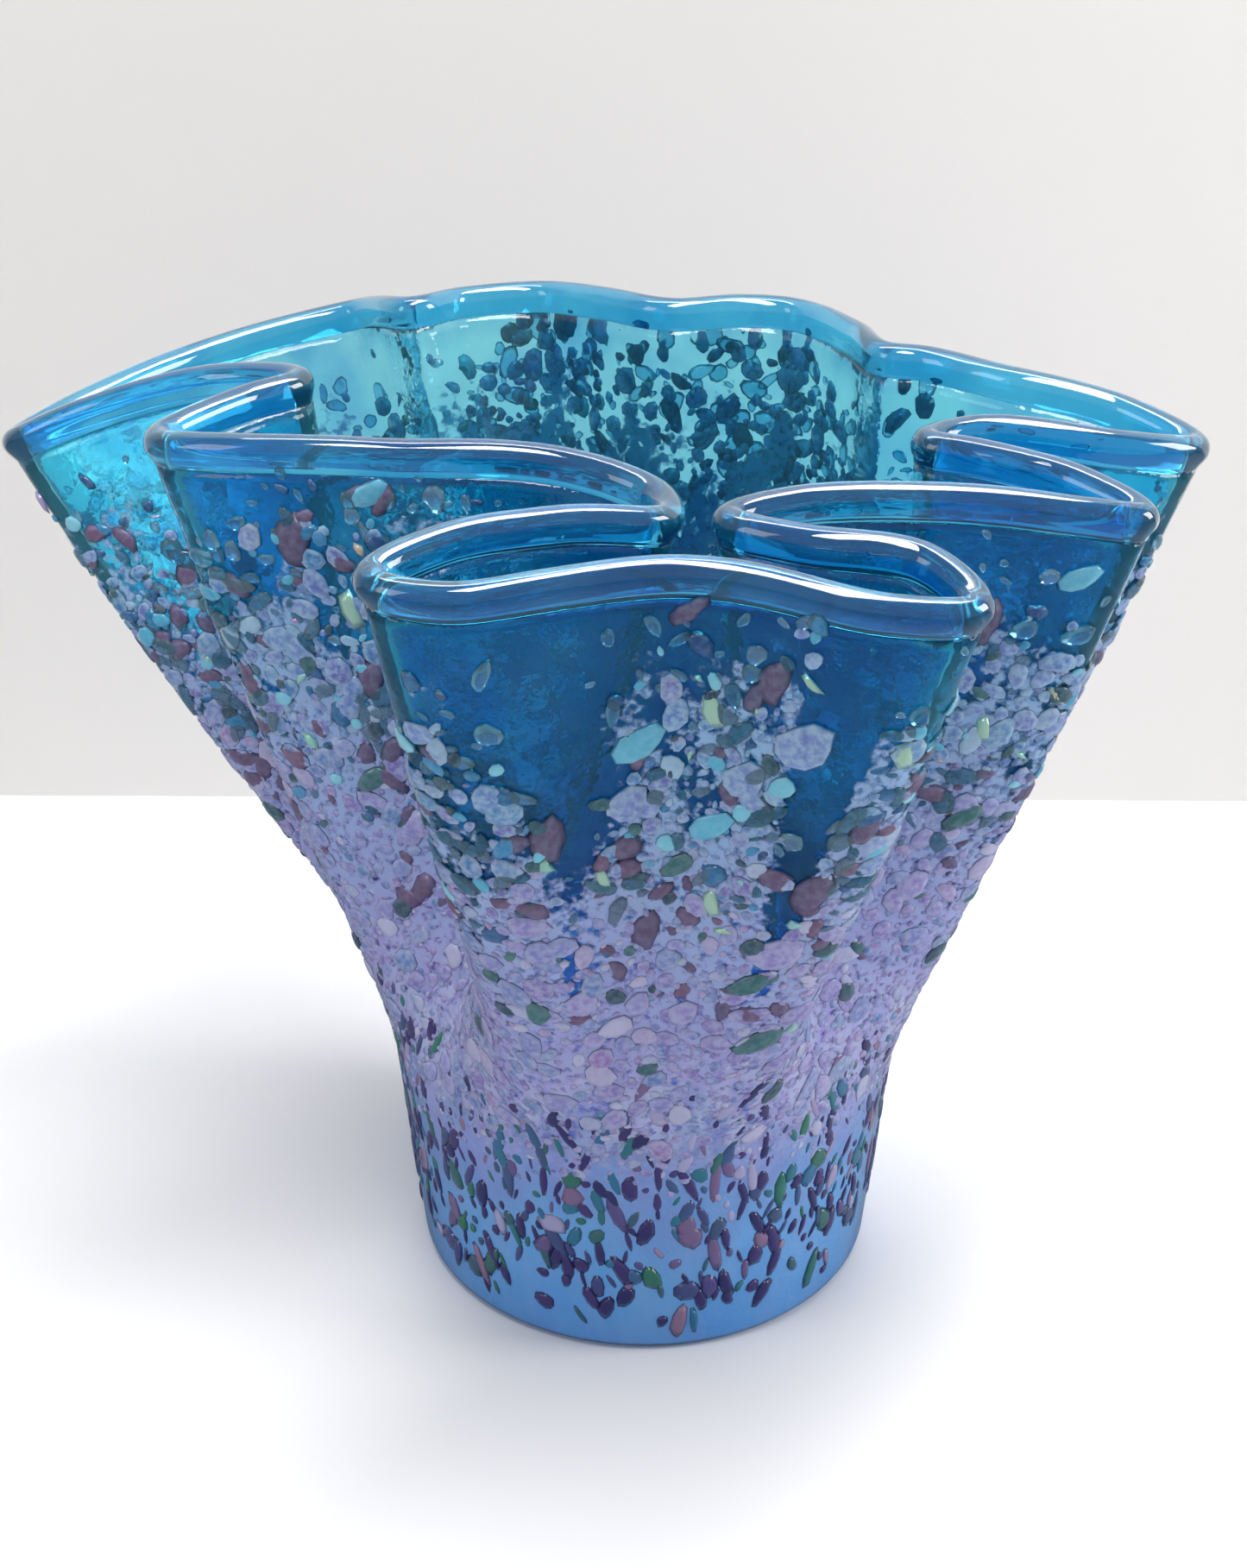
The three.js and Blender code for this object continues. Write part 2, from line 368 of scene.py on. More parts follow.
def named(tree, name, dataType="FLOAT"):
    return made(tree, "GeometryNodeInputNamedAttribute", {"Name": name}, data_type=dataType)


def stored(tree, geometry, name, value):
    return made(tree, "GeometryNodeStoreNamedAttribute",
                {"Geometry": geometry, "Name": name, "Value": value},
                data_type="FLOAT", domain="POINT")


def finished(tree, geometry, material):
    geometry = made(tree, "GeometryNodeSetShadeSmooth", {"Geometry": geometry})
    geometry = made(tree, "GeometryNodeRealizeInstances", {"Geometry": geometry})
    return made(tree, "GeometryNodeSetMaterial", {"Geometry": geometry, "Material": material})


def riseOf(up):
    # share of the flare, from the waist to the rim
    return (up - wallSizes["waistHeight"]) / wallSizes["flareLength"]


# How high the crust of chips reaches, as a share of the flare, at rows of the rim plan
crustTops = [
    (0, 0.6), (2, 0.7), (3, 0.76), (3.5, 0.84), (4.12, 0.8), (4.28, 0.54), (4.45, 0.5), (4.62, 0.74),
    (4.9, 0.92), (5.6, 0.92), (5.76, 0.68), (5.9, 0.52), (6.12, 0.54), (6.25, 0.8), (7, 0.84), (7.3, 0.7),
    (8, 0.62), (10, 0.66),
    (12, 0.86), (13, 0.84), (14, 0.8), (16, 0.7), (18, 0.7), (20, 0.84), (22, 0.84), (24, 0.8),
    (26, 0.95), (28, 0.92), (30, 0.95), (32, 0.8), (35, 0.86), (37, 0.8), (39, 0.74), (41, 0.76),
    (42.5, 0.92), (43.5, 0.88), (45, 0.7), (46, 0.6),
]


def crustTopAt(place):
    rows, tops = zip(*crustTops)
    return np.interp(np.asarray(place) * rowCount, rows, tops)


mergeDistance = 0.004 * mm


def buildWallLoft():
    # a closed ring or cup of wall: the profile's points at every place round the rim,
    # each with its distance across the wall, its way up and its pull to the axis
    tree, given, end = newGroup("wallLoft", "GeometryNodeTree", {
        "Geometry": ("Geometry", None),
        "Rim": ("Object", None),
        "Columns": ("Int", 64),
        "Rows": ("Int", 64),
        "Places": ("Object", None),
        "Profile": ("Object", None),
        "Material": ("Material", None),
    }, {"Geometry": "Geometry"})

    def geometryOf(name):
        return out(addNode(tree, "GeometryNodeObjectInfo", {"Object": given[name]}), "Geometry")

    grid = out(addNode(tree, "GeometryNodeMeshGrid",
                       {"Vertices X": given["Columns"], "Vertices Y": given["Rows"]}), "Mesh")
    index = made(tree, "GeometryNodeInputIndex")
    column = calc(tree, "FLOOR", (index + 0.5) / given["Rows"])
    row = index - column * given["Rows"]
    position = made(tree, "GeometryNodeInputPosition")

    def sampled(name, at):
        return made(tree, "GeometryNodeSampleIndex",
                    {"Geometry": geometryOf(name), "Value": position, "Index": at},
                    data_type="FLOAT_VECTOR", clamp=True)

    place, crustTop = partsOf(sampled("Places", column))[:2]
    across, up, pull = partsOf(sampled("Profile", row))
    point = out(useGroup(tree, wallPoint, {
        "Rim": geometryOf("Rim"), "Place": place, "Up": up, "Across": across}), "Position")
    x, y, z = partsOf(point)
    keep = 1.0 - pull
    flat = smoothStep(tree, pull, 0.0, 0.02)
    level = z + (up - z) * flat
    loft = made(tree, "GeometryNodeSetPosition",
                {"Geometry": grid, "Position": vectorOf(tree, x * keep, y * keep, level)})
    rise = riseOf(up)
    loft = stored(tree, loft, "rise", rise)
    loft = stored(tree, loft, "crust", rise / crustTop)
    loft = made(tree, "GeometryNodeMergeByDistance",
                {"Geometry": loft, "Distance": mergeDistance})
    plug(tree, finished(tree, loft, given["Material"]), end.inputs["Geometry"])
    return tree


wallLoft = buildWallLoft()


def loftWall(name, profile, columns, material):
    # profile: closed, clockwise with outwards on the right
    places = pointMesh(name + "Places", [(p, crustTopAt(p), 0) for p in placesRound(columns)])
    outline = pointMesh(name + "Profile", profile)
    base = pointMesh(name + "Base", [])
    piece = runModifier(name, base, wallLoft, {
        "Rim": rimLine, "Columns": columns + 1, "Rows": len(profile), "Places": places,
        "Profile": outline, "Material": material})
    for helper in (places, outline, base):
        bpy.data.objects.remove(helper)
    return piece


flareGlassSizes = {
    "columns": 500,
    "rows": 62,
    "seam": 0.05 * mm,
}


def flareProfile():
    sizes = flareGlassSizes
    bottom = wallSizes["waistHeight"] + sizes["seam"]
    rows = np.linspace(bottom, rimUp - wallSizes["lipHeight"], sizes["rows"])
    outside = [(halfWall, up, 0) for up in rows]
    inside = [(-halfWall, up, 0) for up in rows[::-1]]
    return outside + inside + [outside[0]]


lipSizes = {
    "columns": 560,
    "swellSteps": 4,
    "beadSteps": 12,
}


def lipProfile():
    # the wall swells into a round bead
    half = wallSizes["lipThickness"] / 2
    bottom = rimUp - wallSizes["lipHeight"] + flareGlassSizes["seam"]
    middle = rimUp - half
    swell = []
    for step in range(lipSizes["swellSteps"]):
        share = step / lipSizes["swellSteps"]
        ease = share * share * (3 - 2 * share)
        swell.append((halfWall + (half - halfWall) * ease, bottom + (middle - bottom) * share, 0))
    turns = [math.pi * step / lipSizes["beadSteps"] for step in range(lipSizes["beadSteps"] + 1)]
    bead = [(half * math.cos(turn), middle + half * math.sin(turn), 0) for turn in turns]
    back = [(-across, up, 0) for across, up, pull in swell[::-1]]
    return swell + bead + back + [swell[0]]


casingSizes = {
    "columns": 440,
    "skin": 0.22 * mm,
    "skinTop": 0.9,  # share of the flare
    "skinRows": 50,
    "baseRows": 16,
    "edgeSteps": 6,
}


def casingProfile():
    # the milky base, and the thin milky skin that runs up the outside of the flare
    sizes = casingSizes
    waist, edge = wallSizes["waistHeight"], wallSizes["footEdgeRadius"]
    gap = flareGlassSizes["seam"]
    top = waist + sizes["skinTop"] * wallSizes["flareLength"]
    floorUp = wallSizes["footThickness"]
    outer = halfWall + gap + sizes["skin"]
    pulls = (0.999, 0.9, 0.7, 0.45, 0.2, 0.08)
    profile = [(halfWall - edge, 0, p) for p in (1.0,) + pulls]
    for s in range(sizes["edgeSteps"] + 1):
        angle = math.pi / 2 * s / sizes["edgeSteps"]
        profile.append((halfWall - edge + edge * math.sin(angle), edge * (1 - math.cos(angle)), 0))
    for up in np.linspace(edge, waist, sizes["baseRows"])[1:]:
        ease = up / waist
        profile.append((halfWall + (outer - halfWall) * ease, up, 0))
    skin = np.linspace(waist, top, sizes["skinRows"])
    profile += [(outer, up, 0) for up in skin[1:]]
    profile += [(halfWall + gap, up, 0) for up in skin[::-1]]
    profile += [(-halfWall, waist, 0)]
    for up in np.linspace(waist, floorUp, sizes["baseRows"])[1:]:
        profile.append((-halfWall, up, 0))
    profile += [(-halfWall, floorUp - 1.0 * mm * p, p) for p in pulls[::-1] + (1.0,)]
    return profile


chipSink = 0.12 * mm  # how far a chip's edge lies below the surface


def buildFusedChips():
    # scatters chips over the wall, or sets them where loose points say, and drapes each on the glass
    tree, given, end = newGroup("fusedChips", "GeometryNodeTree", {
        "Sheet": ("Geometry", None),
        "Rim": ("Object", None),
        "Spacing": ("Float", 3 * mm),
        "Cover": ("Float", 1.0),
        "Low": ("Float", 0.0),
        "Low soft": ("Float", 0.1),
        "High": ("Float", 1.0),
        "High soft": ("Float", 0.1),
        "Clumping": ("Float", 0.5),
        "Clump scale": ("Float", 80.0),
        "Smallest": ("Float", 1 * mm),
        "Largest": ("Float", 2 * mm),
        "Aspect": ("Float", 1.2),
        "Upright": ("Float", 0.0),
        "Spin": ("Float", math.pi),
        "Waviness": ("Float", 0.1),
        "Crown": ("Float", 0.6),
        "Proud": ("Float", 0.4),
        "Proud limit": ("Float", 1.6 * mm),
        "Sides": ("Int", 9),
        "Rings": ("Int", 2),
        "Seed": ("Int", 1),
        "Across": ("Float", halfWall),
        "Material": ("Material", None),
    }, {"Geometry": "Geometry"})
    rim = out(addNode(tree, "GeometryNodeObjectInfo", {"Object": given["Rim"]}), "Geometry")
    position = made(tree, "GeometryNodeInputPosition")
    x, y, z = partsOf(position)
    sheet = stored(tree, given["Sheet"], "place", x)
    sheet = stored(tree, sheet, "up", y)
    place, up = named(tree, "place"), named(tree, "up")

    def onWall(atPlace, atUp, across):
        return useGroup(tree, wallPoint, {"Rim": rim, "Place": atPlace, "Up": atUp, "Across": across})

    wall = onWall(place, up, given["Across"])
    sheet = stored(tree, sheet, "turnLength", out(wall, "Turn length"))
    sheet = made(tree, "GeometryNodeSetPosition",
                 {"Geometry": sheet, "Position": out(wall, "Position")})
    share = riseOf(up)
    high = named(tree, "crustTop") * given["High"]
    cover = smoothStep(tree, share, given["Low"], given["Low"] + given["Low soft"])
    cover = cover * (1.0 - smoothStep(tree, share, high - given["High soft"], high))
    clump = smoothStep(tree, noiseOf(tree, position, given["Clump scale"], 1.0), 0.4, 0.6)
    cover = cover * (1.0 - given["Clumping"] * (1.0 - clump)) * given["Cover"]
    points = out(addNode(tree, "GeometryNodeDistributePointsOnFaces", {
        "Mesh": sheet, "Distance Min": given["Spacing"],
        "Density Max": 4.0 / (given["Spacing"] * given["Spacing"]), "Density Factor": cover,
        "Seed": given["Seed"]}, distribute_method="POISSON"), "Points")
    offset = [0]

    def random(low, high):
        offset[0] += 1
        return made(tree, "FunctionNodeRandomValue", {
            2: low, 3: high, "Seed": given["Seed"] * 10.0 + float(offset[0])}, data_type="FLOAT")

    skewed = random(0.0, 1.0)
    sizeField = given["Smallest"] + (given["Largest"] - given["Smallest"]) * skewed * skewed
    points = stored(tree, points, "size", sizeField)
    setPoints = made(tree, "GeometryNodeMeshToPoints", {
        "Mesh": sheet, "Selection": calc(tree, "GREATER_THAN", named(tree, "size"), 0.0)})
    joined = tree.nodes.new("GeometryNodeJoinGeometry")
    for source in (points, setPoints):
        tree.links.new(source.socket, joined.inputs[0])
    points = out(joined)
    for name, value in (("spin", random(-1.0, 1.0)), ("phase", random(0.0, 6.283)),
                        ("tone", random(0.0, 1.0)), ("squeeze", random(0.0, 1.0))):
        points = stored(tree, points, name, value)
    points = made(tree, "GeometryNodeSetPosition",
                  {"Geometry": points, "Position": (0.0, 0.0, 0.0)})

    # one dome, of rings at even steps of a quarter turn
    cone = out(addNode(tree, "GeometryNodeMeshCone", {
        "Vertices": given["Sides"], "Side Segments": given["Rings"], "Fill Segments": 1,
        "Radius Top": 0.5, "Radius Bottom": 1.0, "Depth": 1.0}, fill_type="TRIANGLE_FAN"), "Mesh")
    radius = calc(tree, "SQRT", x * x + y * y)
    bend = z * (math.pi / 3)
    domeRadius = calc(tree, "COSINE", bend)
    grow = calc(tree, "DIVIDE", domeRadius, calc(tree, "MAXIMUM", radius, 0.01))
    isMiddle = calc(tree, "LESS_THAN", radius, 0.01)
    isTop = isMiddle * calc(tree, "GREATER_THAN", z, 0.5)
    offMiddle = 1.0 - isMiddle
    domeHeight = calc(tree, "POWER", calc(tree, "SINE", bend), given["Crown"]) * offMiddle + isTop
    grow = grow * offMiddle
    dome = stored(tree, cone, "edge", domeRadius * offMiddle)
    dome = made(tree, "GeometryNodeSetPosition", {
        "Geometry": dome, "Position": vectorOf(tree, x * grow, y * grow, domeHeight)})
    chips = made(tree, "GeometryNodeInstanceOnPoints", {"Points": points, "Instance": dome})
    chips = made(tree, "GeometryNodeRealizeInstances", {"Geometry": chips})

    # the realised points still hold the dome's own coordinates: shape each chip, then drape it
    phase, size = named(tree, "phase"), named(tree, "size")
    angle = calc(tree, "ARCTAN2", y, x)
    twoLobes = calc(tree, "SINE", angle * 2.0 + phase)
    threeLobes = calc(tree, "SINE", angle * 3.0 - phase * 2.0)
    fiveLobes = calc(tree, "SINE", angle * 5.0 + phase * 3.0)
    wave = twoLobes + threeLobes * 0.7 + fiveLobes * 0.35
    reach = size * (1.0 + wave * given["Waviness"])
    long = 1.0 + (given["Aspect"] - 1.0) * named(tree, "squeeze")
    sideways, upways = x * reach / long, y * reach * long
    turn = named(tree, "spin") * given["Spin"]
    cosTurn, sinTurn = calc(tree, "COSINE", turn), calc(tree, "SINE", turn)
    right = sideways * cosTurn - upways * sinTurn
    higher = sideways * sinTurn + upways * cosTurn
    proud = calc(tree, "MINIMUM", given["Proud"] * size, given["Proud limit"])
    across = given["Across"] - chipSink + z * (proud + chipSink)
    draped = out(onWall(place + right / named(tree, "turnLength"), up + higher, across), "Position")
    chips = made(tree, "GeometryNodeSetPosition", {"Geometry": chips, "Position": draped})
    chips = stored(tree, chips, "rise", share)
    plug(tree, finished(tree, chips, given["Material"]), end.inputs["Geometry"])
    return tree


fusedChips = buildFusedChips()

sheetSizes = {
    "columns": 460,
    "rows": 72,
    "bottom": 6.5 * mm,
    "top": rimUp - 5 * mm,
}


def makeSheet(name, setPlaces):
    # a flat grid in place and up, with loose points for the chips that are set one by one
    sizes = sheetSizes
    across = np.linspace(0, 1, sizes["columns"] + 1)
    upwards = np.linspace(sizes["bottom"], sizes["top"], sizes["rows"] + 1)
    grid = [(p, u, 0) for p in across for u in upwards]
    step = sizes["rows"] + 1
    faces = [(c * step + r, (c + 1) * step + r, (c + 1) * step + r + 1, c * step + r + 1)
             for c in range(sizes["columns"]) for r in range(sizes["rows"])]
    loose = [(row / rowCount, wallSizes["waistHeight"] + share * wallSizes["flareLength"], 0)
             for row, share, size in setPlaces]
    points = grid + loose
    tops = crustTopAt([p[0] for p in points])
    setSizes = [0.0] * len(grid) + [size * mm for row, share, size in setPlaces]
    return pointMesh(name, points, {"crustTop": tops, "size": setSizes}, faces=faces)


def rampOf(tree, value, stops):
    node = addNode(tree, "ShaderNodeValToRGB", {"Fac": value})
    ramp = node.color_ramp
    ramp.interpolation = "LINEAR"
    while len(ramp.elements) < len(stops):
        ramp.elements.new(0.5)
    for element, (at, colour) in zip(ramp.elements, stops):
        element.position = at
        element.color = (*colour, 1.0)
    return Wire(tree, node.outputs[0])


def mixed(tree, factor, first, second, blend="MIX"):
    node = addNode(tree, "ShaderNodeMix", {"Factor": factor, "A": first, "B": second},
                   data_type="RGBA", blend_type=blend)
    return out(node)


def newMaterial(name, values):
    material = bpy.data.materials.new(name)
    material.use_nodes = True
    tree = material.node_tree
    principled = tree.nodes["Principled BSDF"]
    for key, value in values.items():
        principled.inputs[key].default_value = value
    return material, tree, principled


def attributeOf(tree, name):
    return Wire(tree, addNode(tree, "ShaderNodeAttribute", attribute_name=name).outputs["Fac"])


def objectPoint(tree):
    return Wire(tree, tree.nodes.new("ShaderNodeTexCoord").outputs["Object"])


def buildGlassRipple():
    # height of the soft dents and fine wrinkles that hot glass keeps
    tree, given, end = newGroup("glassRipple", "ShaderNodeTree", {
        "Dent scale": ("Float", 120.0),
        "Wrinkle scale": ("Float", 700.0),
        "Wrinkle share": ("Float", 0.25),
    }, {"Height": "Float"})
    point = objectPoint(tree)
    dents = noiseOf(tree, point, given["Dent scale"], 2.0)
    wrinkles = noiseOf(tree, point, given["Wrinkle scale"], 2.0)
    height = dents + (wrinkles - dents) * given["Wrinkle share"]
    plug(tree, height, end.inputs["Height"])
    return tree


def buildStreaks():
    # a mask of streaks drawn out upwards
    tree, given, end = newGroup("drawnStreaks", "ShaderNodeTree", {
        "Scale": ("Float", 160.0),
        "Stretch": ("Float", 0.22),
        "Low": ("Float", 0.35),
        "High": ("Float", 0.65),
    }, {"Mask": "Float"})
    x, y, z = partsOf(objectPoint(tree))
    drawn = vectorOf(tree, x, y, z * given["Stretch"])
    plug(tree, smoothStep(tree, noiseOf(tree, drawn, given["Scale"], 3.0), given["Low"], given["High"]),
         end.inputs["Mask"])
    return tree


def buildChipColour():
    # bluer up the flare, frosted and specked in patches, with a dark line painted where the chip meets
    # the wall as painted shade of the dome's tilted edge
    tree, given, end = newGroup("chipColour", "ShaderNodeTree", {
        "Colour": ("Color", (0.4, 0.4, 0.8, 1.0)),
        "Edge": ("Float", 0.0),
        "Rise": ("Float", 0.0),
        "Cool": ("Float", 0.0),
        "Cool colour": ("Color", (0.5, 1.0, 1.0, 1.0)),
        "Frost": ("Float", 0.1),
        "Frost colour": ("Color", (0.62, 0.66, 0.96, 1.0)),
        "High frost colour": ("Color", (0.56, 0.82, 1.0, 1.0)),
        "Mottle scale": ("Float", 900.0),
        "Painted edge shade": ("Color", (0.02, 0.10, 0.25, 1.0)),
        "Painted edge shade share": ("Float", 0.85),
    }, {"Colour": "Color"})
    mottle = noiseOf(tree, objectPoint(tree), given["Mottle scale"], 4.0)
    high = smoothStep(tree, given["Rise"], 0.42, 0.72)
    colour = mixed(tree, high * given["Cool"], given["Colour"], given["Cool colour"], "MULTIPLY")
    frostColour = mixed(tree, high, given["Frost colour"], given["High frost colour"])
    frost = smoothStep(tree, mottle, 0.36, 0.66) * given["Frost"]
    colour = mixed(tree, frost, colour, frostColour)
    speck = 1.0 - smoothStep(tree, mottle, 0.26, 0.40)
    ring = smoothStep(tree, given["Edge"], 0.45, 0.85) * given["Frost"] * 0.5
    colour = mixed(tree, ring, colour, frostColour)
    # painted shade: a dark line round each chip's edge, where the dome tilts into the wall
    rim = smoothStep(tree, given["Edge"], 0.88, 0.99) * given["Painted edge shade share"]
    line = calc(tree, "MAXIMUM", rim, speck * given["Frost"] * 0.4)
    plug(tree, mixed(tree, line, colour, given["Painted edge shade"]), end.inputs["Colour"])
    return tree


glassRipple = buildGlassRipple()
drawnStreaks = buildStreaks()
chipColour = buildChipColour()


def bumpInto(tree, principled, height, strength, distance):
    bump = addNode(tree, "ShaderNodeBump",
                   {"Height": height, "Strength": strength, "Distance": distance})
    plug(tree, out(bump), principled.inputs["Normal"])


def rippleHeight(tree, dent, wrinkle, share):
    return out(useGroup(tree, glassRipple, {
        "Dent scale": dent, "Wrinkle scale": wrinkle, "Wrinkle share": share}))


def streakMask(tree, scale, stretch, low, high):
    return out(useGroup(tree, drawnStreaks, {
        "Scale": scale, "Stretch": stretch, "Low": low, "High": high}))


def patched(tree, colour, place, patch):
    # another colour in soft patches
    noise = noiseOf(tree, objectPoint(tree) + place, patch["scale"], patch["detail"])
    return mixed(tree, smoothStep(tree, noise, patch["low"], patch["high"]) * patch["share"],
                 colour, patch["colour"])


flareGlassLook = {
    "finish": {"Transmission Weight": 0.94, "IOR": 1.47, "Roughness": 0.03, "Specular IOR Level": 0.3},
    # colours up the flare: painted paler at the back of the vase, as painted light shining through from
    # behind, and deeper at its front, as painted shade
    "litBack": [(0.0, (0.34, 0.34, 0.78)), (0.3, (0.38, 0.48, 0.84)), (0.5, (0.28, 0.66, 0.88)),
             (0.68, (0.22, 0.74, 0.90)), (0.93, (0.26, 0.80, 0.92)), (1.0, (0.12, 0.55, 0.78))],
    "shadedFront": [(0.0, (0.24, 0.30, 0.76)), (0.3, (0.18, 0.44, 0.84)), (0.5, (0.05, 0.56, 0.88)),
             (0.68, (0.03, 0.61, 0.90)), (0.93, (0.03, 0.64, 0.92)), (1.0, (0.03, 0.48, 0.80))],
    "shadedFrontUpTo": -25 * mm,  # from front to back
    "litBackFrom": 55 * mm,
    "streak": (60.0, 0.5, 0.3, 0.7),  # scale, stretch, low, high
    "streakLift": 0.14,
    "cloud": {"scale": 90.0, "detail": 5.0, "low": 0.42, "high": 0.68, "share": 0.45,
              "colour": (0.25, 0.88, 1.0, 1.0)},
    "blot": {"scale": 60.0, "detail": 4.0, "low": 0.5, "high": 0.66, "share": 0.4,
             "colour": (0.02, 0.36, 0.80, 1.0)},
    "ripple": (130.0, 500.0, 0.25),  # dent scale, wrinkle scale, wrinkle share
    "bump": (0.5, 1.0 * mm),  # strength, distance
}


def flareGlassMaterial():
    look = flareGlassLook
    material, tree, principled = newMaterial("flareGlass", look["finish"])
    height = attributeOf(tree, "rise") + (streakMask(tree, *look["streak"]) - 0.5) * look["streakLift"]
    litBack = rampOf(tree, height, look["litBack"])
    shadedFront = rampOf(tree, height, look["shadedFront"])
    depth = partsOf(objectPoint(tree))[1]
    # painted light and shade: paler towards the back, where light shines through, and deeper towards the
    # front
    colour = mixed(tree, smoothStep(tree, depth, look["shadedFrontUpTo"], look["litBackFrom"]), shadedFront, litBack)
    colour = patched(tree, colour, (0.0, 0.0, 0.0), look["cloud"])
    colour = patched(tree, colour, (0.3, 0.1, 0.2), look["blot"])
    plug(tree, colour, principled.inputs["Base Color"])
    bumpInto(tree, principled, rippleHeight(tree, *look["ripple"]), *look["bump"])
    return material


lipLook = {
    "finish": {"Transmission Weight": 0.93, "IOR": 1.47, "Roughness": 0.02, "Specular IOR Level": 0.4,
               "Coat Weight": 1.0, "Coat Roughness": 0.02, "Coat IOR": 1.55},
    "colours": ((0.03, 0.42, 0.78, 1.0), (0.08, 0.58, 0.88, 1.0)),
    "streak": (60.0, 0.5, 0.3, 0.7),
    "ripple": (90.0, 300.0, 0.1),
    "bump": (0.25, 0.8 * mm),
}


def lipMaterial():
    look = lipLook
    material, tree, principled = newMaterial("firePolishedLip", look["finish"])
    colour = mixed(tree, streakMask(tree, *look["streak"]), *look["colours"])
    plug(tree, colour, principled.inputs["Base Color"])
    bumpInto(tree, principled, rippleHeight(tree, *look["ripple"]), *look["bump"])
    return material


casingLook = {
    "finish": {"Roughness": 0.2, "Coat Weight": 0.7, "Coat Roughness": 0.06, "IOR": 1.5},
    "stops": [(0.0, (0.09, 0.31, 0.74)), (0.14, (0.12, 0.36, 0.74)), (0.24, (0.15, 0.27, 0.62)),
              (0.38, (0.36, 0.30, 0.68)), (0.55, (0.34, 0.38, 0.74)), (0.8, (0.26, 0.52, 0.80))],
    "stopsScale": 0.75,  # the ramp runs from the foot, below the start of the flare
    "stopsStart": 0.27,
    "fineStreak": (260.0, 0.3, 0.35, 0.65),
    "broadStreak": (90.0, 0.5, 0.35, 0.65),
    "streakColour": (0.36, 0.38, 0.64, 1.0),
    "grainScale": 650.0,
    "grainShare": 0.4,
    "grainColour": (0.34, 0.48, 0.78, 1.0),
    "rippleShare": 0.4,
    "rippleColour": (0.62, 0.68, 0.90, 1.0),
    "fadeFrom": 0.6,  # share of the crust's height
    "fadeTo": 1.05,
    "cover": 0.85,
    "ripple": (200.0, 900.0, 0.4),
    "bump": (0.4, 0.8 * mm),
}


def casingMaterial():
    look = casingLook
    material, tree, principled = newMaterial("milkyCasing", look["finish"])
    rise = attributeOf(tree, "rise")
    streak = streakMask(tree, *look["fineStreak"])
    broad = streakMask(tree, *look["broadStreak"]) - 0.5
    colour = rampOf(tree, rise * look["stopsScale"] + look["stopsStart"] + broad * 0.08, look["stops"])
    onFlare = smoothStep(tree, rise, -0.12, 0.12)
    colour = mixed(tree, streak * (0.1 + onFlare * 0.2), colour, look["streakColour"])
    grainNoise = noiseOf(tree, objectPoint(tree), look["grainScale"], 3.0)
    grain = smoothStep(tree, grainNoise, 0.42, 0.6)
    colour = mixed(tree, grain * onFlare * look["grainShare"], colour, look["grainColour"])
    # the drawn ripples above the waist
    ripples = smoothStep(tree, rise, -0.02, 0.08) * (1.0 - smoothStep(tree, rise, 0.14, 0.3))
    colour = mixed(tree, ripples * streak * look["rippleShare"], colour, look["rippleColour"])
    plug(tree, colour, principled.inputs["Base Color"])
    # the skin breaks up softly where it ends, and the base is solid
    crust = attributeOf(tree, "crust") + broad * 0.35
    fade = 1.0 - smoothStep(tree, crust, look["fadeFrom"], look["fadeTo"])
    threshold = 0.68 - fade * 0.44
    alpha = smoothStep(tree, grainNoise, threshold, threshold + 0.26)
    alpha = alpha * smoothStep(tree, fade, 0.0, 0.2) * look["cover"]
    solid = 1.0 - smoothStep(tree, rise, 0.0, 0.1)
    plug(tree, calc(tree, "MAXIMUM", alpha, solid), principled.inputs["Alpha"])
    bumpInto(tree, principled, rippleHeight(tree, *look["ripple"]), *look["bump"])
    return material


chipRipple = (500.0, 1800.0, 0.4)
chipBump = (0.25, 0.4 * mm)


def chipMaterial(name, look):
    # coloured by each chip's own tone
    material, tree, principled = newMaterial(name, look["finish"])
    # the kind's outline colour is the painted shade along each chip's edge
    colour = out(useGroup(tree, chipColour, {
        "Colour": rampOf(tree, attributeOf(tree, "tone"), look["stops"]),
        "Edge": attributeOf(tree, "edge"), "Rise": attributeOf(tree, "rise"),
        "Cool": look["cool"], "Frost": look["frost"], "Painted edge shade": (*look["outline"], 1.0)}))
    plug(tree, colour, principled.inputs["Base Color"])
    bumpInto(tree, principled, rippleHeight(tree, *chipRipple), *chipBump)
    return material


glossy = {"Roughness": 0.16, "Coat Weight": 0.8, "Coat Roughness": 0.05, "IOR": 1.5}
glassy = {"Roughness": 0.1, "Transmission Weight": 0.35, "IOR": 1.47, "Specular IOR Level": 0.4,
          "Coat Weight": 0.7, "Coat Roughness": 0.03}
icy = {"Roughness": 0.06, "Transmission Weight": 0.86, "IOR": 1.47, "Specular IOR Level": 0.4}
satin = {"Roughness": 0.42, "Coat Weight": 0.25, "Coat Roughness": 0.2, "IOR": 1.5}
foil = {"Roughness": 0.22, "Coat Weight": 1.0, "Coat Roughness": 0.04, "IOR": 1.5, "Metallic": 0.35}

